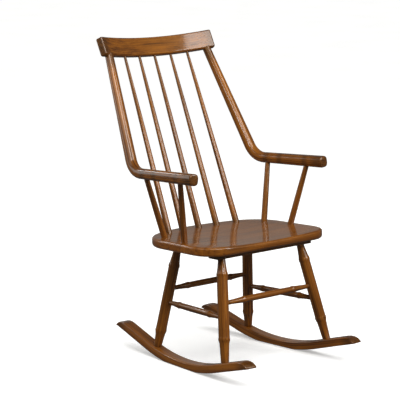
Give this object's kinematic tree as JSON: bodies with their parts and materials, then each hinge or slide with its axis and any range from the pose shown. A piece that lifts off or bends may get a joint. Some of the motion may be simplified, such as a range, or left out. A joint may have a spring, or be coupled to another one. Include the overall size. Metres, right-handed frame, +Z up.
{
  "type": "rocking chair",
  "caption": "Spindle-back wooden rocking chair with bent arm-and-post bows, a curved crest rail, a saddled plank seat and turned legs and stretchers on curved rockers.",
  "frame": {"origin": "on the floor, under the middle of the chair's width and depth", "axes": "+Z up, -Y the way the chair faces, +X towards the left of someone sitting in it"},
  "size_m": [0.623, 0.8069, 1.0767],
  "materials": {
    "stained_wood": "walnut-brown stain under satin lacquer",
    "seat_wood": "walnut-brown stain under semi-gloss lacquer",
    "dark_wood": "darker walnut-brown stain under satin lacquer",
    "screw_steel": "zinc-plated, dull"
  },
  "bodies": {
    "root": {"crest_rail": "stained_wood", "arm_bow_left": "stained_wood", "arm_bow_right": "stained_wood", "back_spindle_1": "stained_wood", "back_spindle_2": "stained_wood", "back_spindle_3": "stained_wood", "back_spindle_4": "stained_wood", "back_spindle_5": "stained_wood", "arm_spindle_left_front": "stained_wood", "arm_spindle_left_back": "stained_wood", "arm_spindle_right_front": "stained_wood", "arm_spindle_right_back": "stained_wood", "seat": "seat_wood", "front_cleat": "dark_wood", "cleat_screws": "screw_steel", "leg_front_left": "stained_wood", "leg_front_right": "stained_wood", "leg_back_left": "stained_wood", "leg_back_right": "stained_wood", "stretcher_front": "stained_wood", "stretcher_back": "stained_wood", "stretcher_left": "stained_wood", "stretcher_right": "stained_wood", "rocker_left": "dark_wood", "rocker_right": "dark_wood"}
  },
  "joints": []
}
